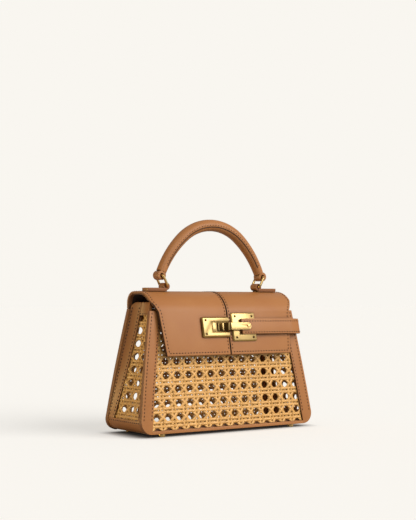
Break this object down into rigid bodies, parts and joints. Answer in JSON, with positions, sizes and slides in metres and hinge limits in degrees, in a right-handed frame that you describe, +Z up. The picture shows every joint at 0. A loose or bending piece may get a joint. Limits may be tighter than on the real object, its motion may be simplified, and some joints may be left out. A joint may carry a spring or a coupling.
{
  "type": "basket box bag",
  "caption": "Small structured handbag of woven cane and leather with a flap, a top handle and a hooked side strap.",
  "frame": {"origin": "centre of the floor rectangle under the bag, on the floor", "axes": "+X to the bag's right-hand end seen from the front, +Y to the back, +Z up"},
  "size_m": [0.2002, 0.0684, 0.2037],
  "materials": {
    "leather": "smooth tan leather, satin",
    "leather_edge": "painted cut edge, satin",
    "thread": "waxed dark brown thread",
    "lining": "matt olive brown",
    "cane": "split cane with its natural gloss",
    "gold_metal": "polished pale gold"
  },
  "bodies": {
    "bag": {"back_cane": "cane", "back_left_band": "leather", "back_right_band": "leather", "back_top_band": "leather", "base_panel": "leather", "catch_plate": "gold_metal", "flap_left": "leather", "flap_lining": "lining", "flap_right": "leather", "front_cane": "cane", "front_left_band": "leather", "front_left_foot": "gold_metal", "front_right_band": "leather", "front_right_foot": "gold_metal", "front_top_band": "leather", "keeper_plate": "gold_metal", "left_end_cane": "cane", "left_end_front_band": "leather", "left_end_rear_band": "leather", "left_end_top_band": "leather", "left_tab": "leather", "lock_screws": "gold_metal", "rear_left_foot": "gold_metal", "rear_right_foot": "gold_metal", "right_end_cane": "cane", "right_end_front_band": "leather", "right_end_rear_band": "leather", "right_end_top_band": "leather", "right_tab": "leather", "strap_back": "leather"},
    "strap": {"strap_front": "leather", "tongue": "gold_metal", "tongue_rivet": "gold_metal"},
    "left_ring": {"left_ring": "gold_metal"},
    "handle": {"handle": "leather"},
    "right_ring": {"right_ring": "gold_metal"}
  },
  "joints": [
    {"name": "strap_swing", "type": "hinge", "parent": "bag", "child": "strap", "pos_m": [0.0872, -0.02632, 0.09907], "axis": [0, 0.1889, 0.982], "range_deg": [0, 115]},
    {"name": "left_ring_swing", "type": "hinge", "parent": "bag", "child": "left_ring", "pos_m": [-0.055, 0.00101, 0.138], "axis": [0, 1, 0], "range_deg": [-15, 15]},
    {"name": "handle_swing", "type": "hinge", "parent": "left_ring", "child": "handle", "pos_m": [-0.0604, 0.00101, 0.1485], "axis": [0, 1, 0], "range_deg": [-14, 14]},
    {"name": "right_ring_swing", "type": "hinge", "parent": "bag", "child": "right_ring", "pos_m": [0.055, 0.00101, 0.138], "axis": [0, 1, 0], "range_deg": [-15, 15]}
  ],
  "couplings": [
    {"joint": "handle_swing", "follows": "left_ring_swing", "ratio": -0.9106},
    {"joint": "right_ring_swing", "follows": "left_ring_swing", "ratio": 1}
  ]
}
